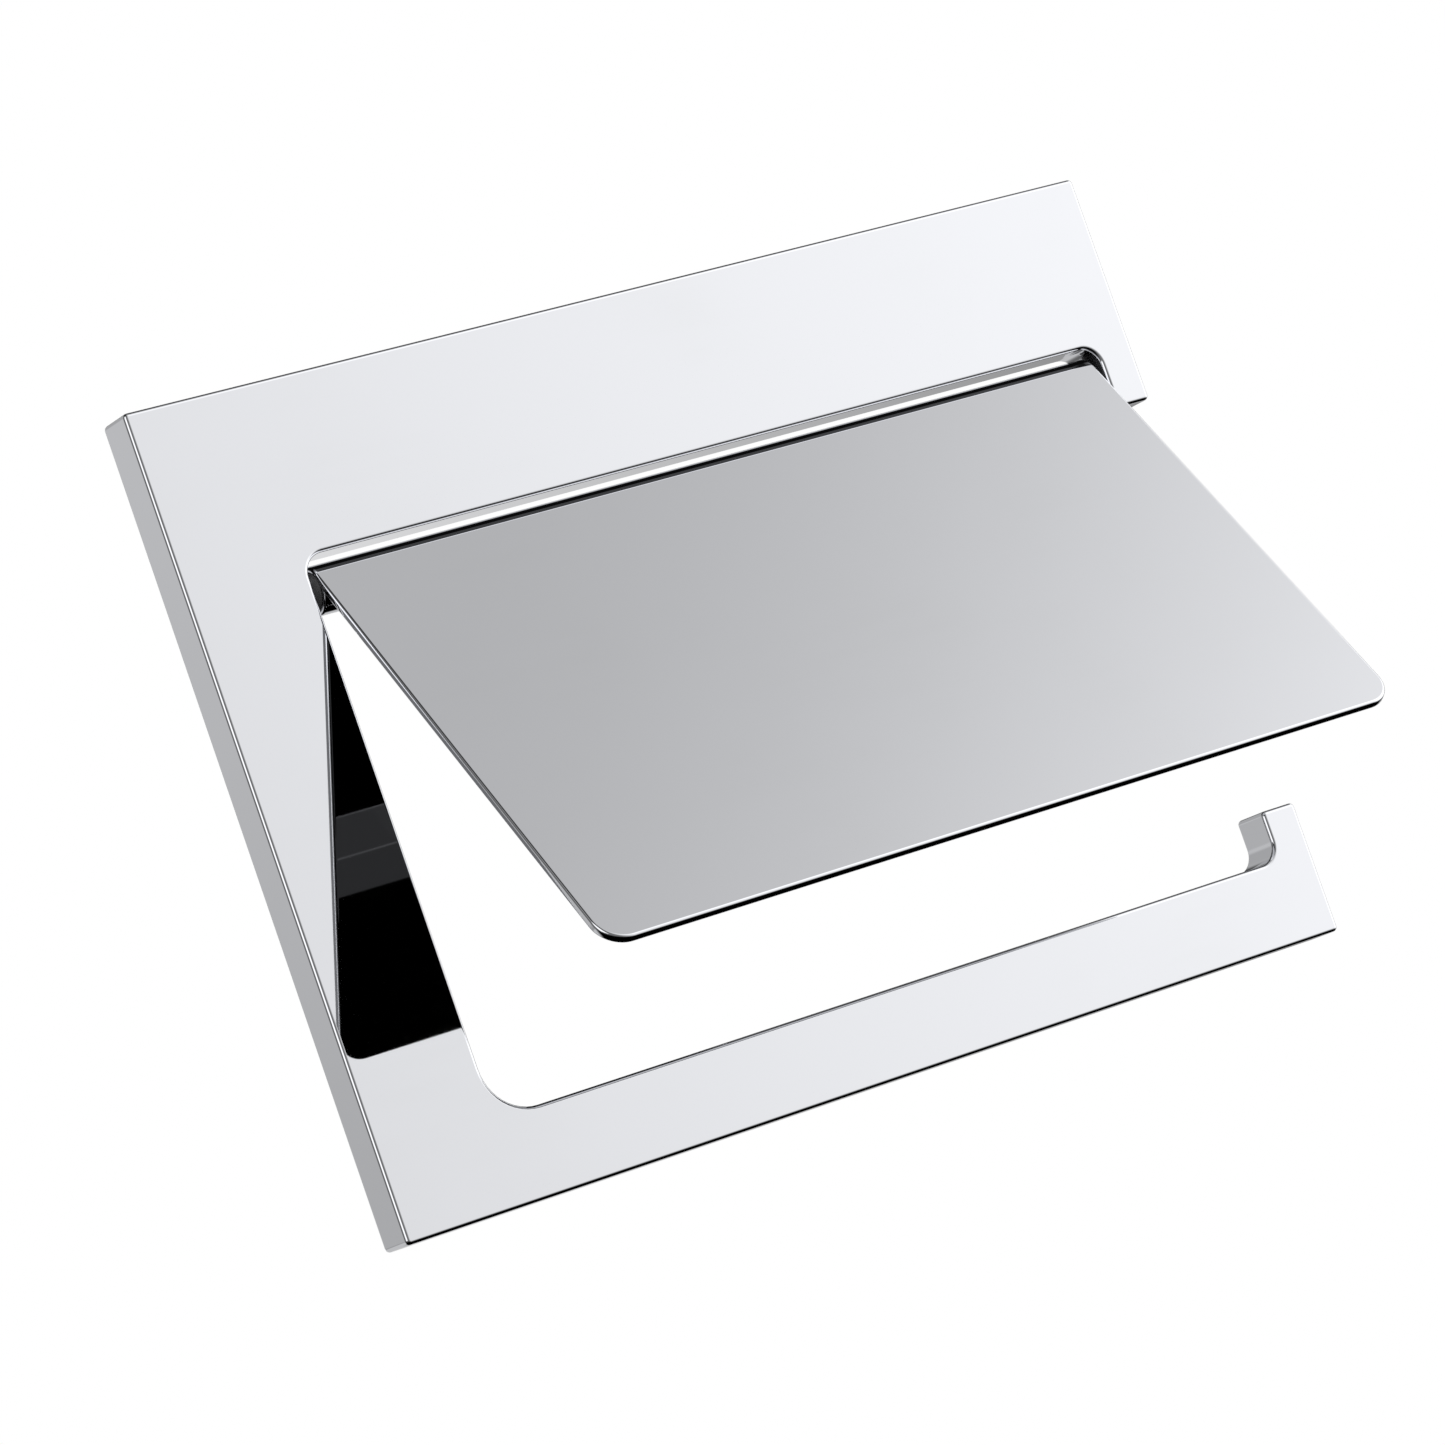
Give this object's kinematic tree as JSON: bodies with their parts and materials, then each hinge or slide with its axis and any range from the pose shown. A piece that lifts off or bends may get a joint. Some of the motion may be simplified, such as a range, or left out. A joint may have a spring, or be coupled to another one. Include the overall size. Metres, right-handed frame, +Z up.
{
  "type": "toilet paper holder",
  "caption": "Wall-mounted toilet paper holder: a C-shaped polished plate with an upturned arm end and a hinged cover flap, held off the wall by a hidden flat arm.",
  "frame": {"origin": "centre of the wall bracket's back face, on the wall, midway between its two screw holes", "axes": "+X to the right along the hinge, +Y into the wall, +Z up"},
  "size_m": [0.15, 0.1039, 0.1085],
  "materials": {
    "polished_chrome": "polished",
    "flap_chrome": "polished",
    "housing_chrome": "polished",
    "pin_steel": "ground",
    "pivot_screw_steel": "turned",
    "screw_steel": "satin",
    "washer_steel": "satin",
    "bracket_steel": "satin",
    "bush_plastic": "matte"
  },
  "bodies": {
    "frame": {"frame_plate": "polished_chrome", "left_pivot_pin": "pin_steel", "stop_pin": "pin_steel", "right_pivot_screw": "pivot_screw_steel", "mount_housing": "housing_chrome", "housing_screws": "screw_steel", "lock_washers": "washer_steel", "wall_bracket": "bracket_steel", "bracket_grub_screw": "screw_steel"},
    "flap": {"cover_flap": "flap_chrome", "left_bush": "bush_plastic", "right_bush": "bush_plastic"}
  },
  "joints": [
    {"name": "flap_hinge", "type": "hinge", "parent": "frame", "child": "flap", "pos_m": [0, -0.0632, -0.01995], "axis": [-1, 0, 0], "range_deg": [-33.6, 51.4]}
  ]
}
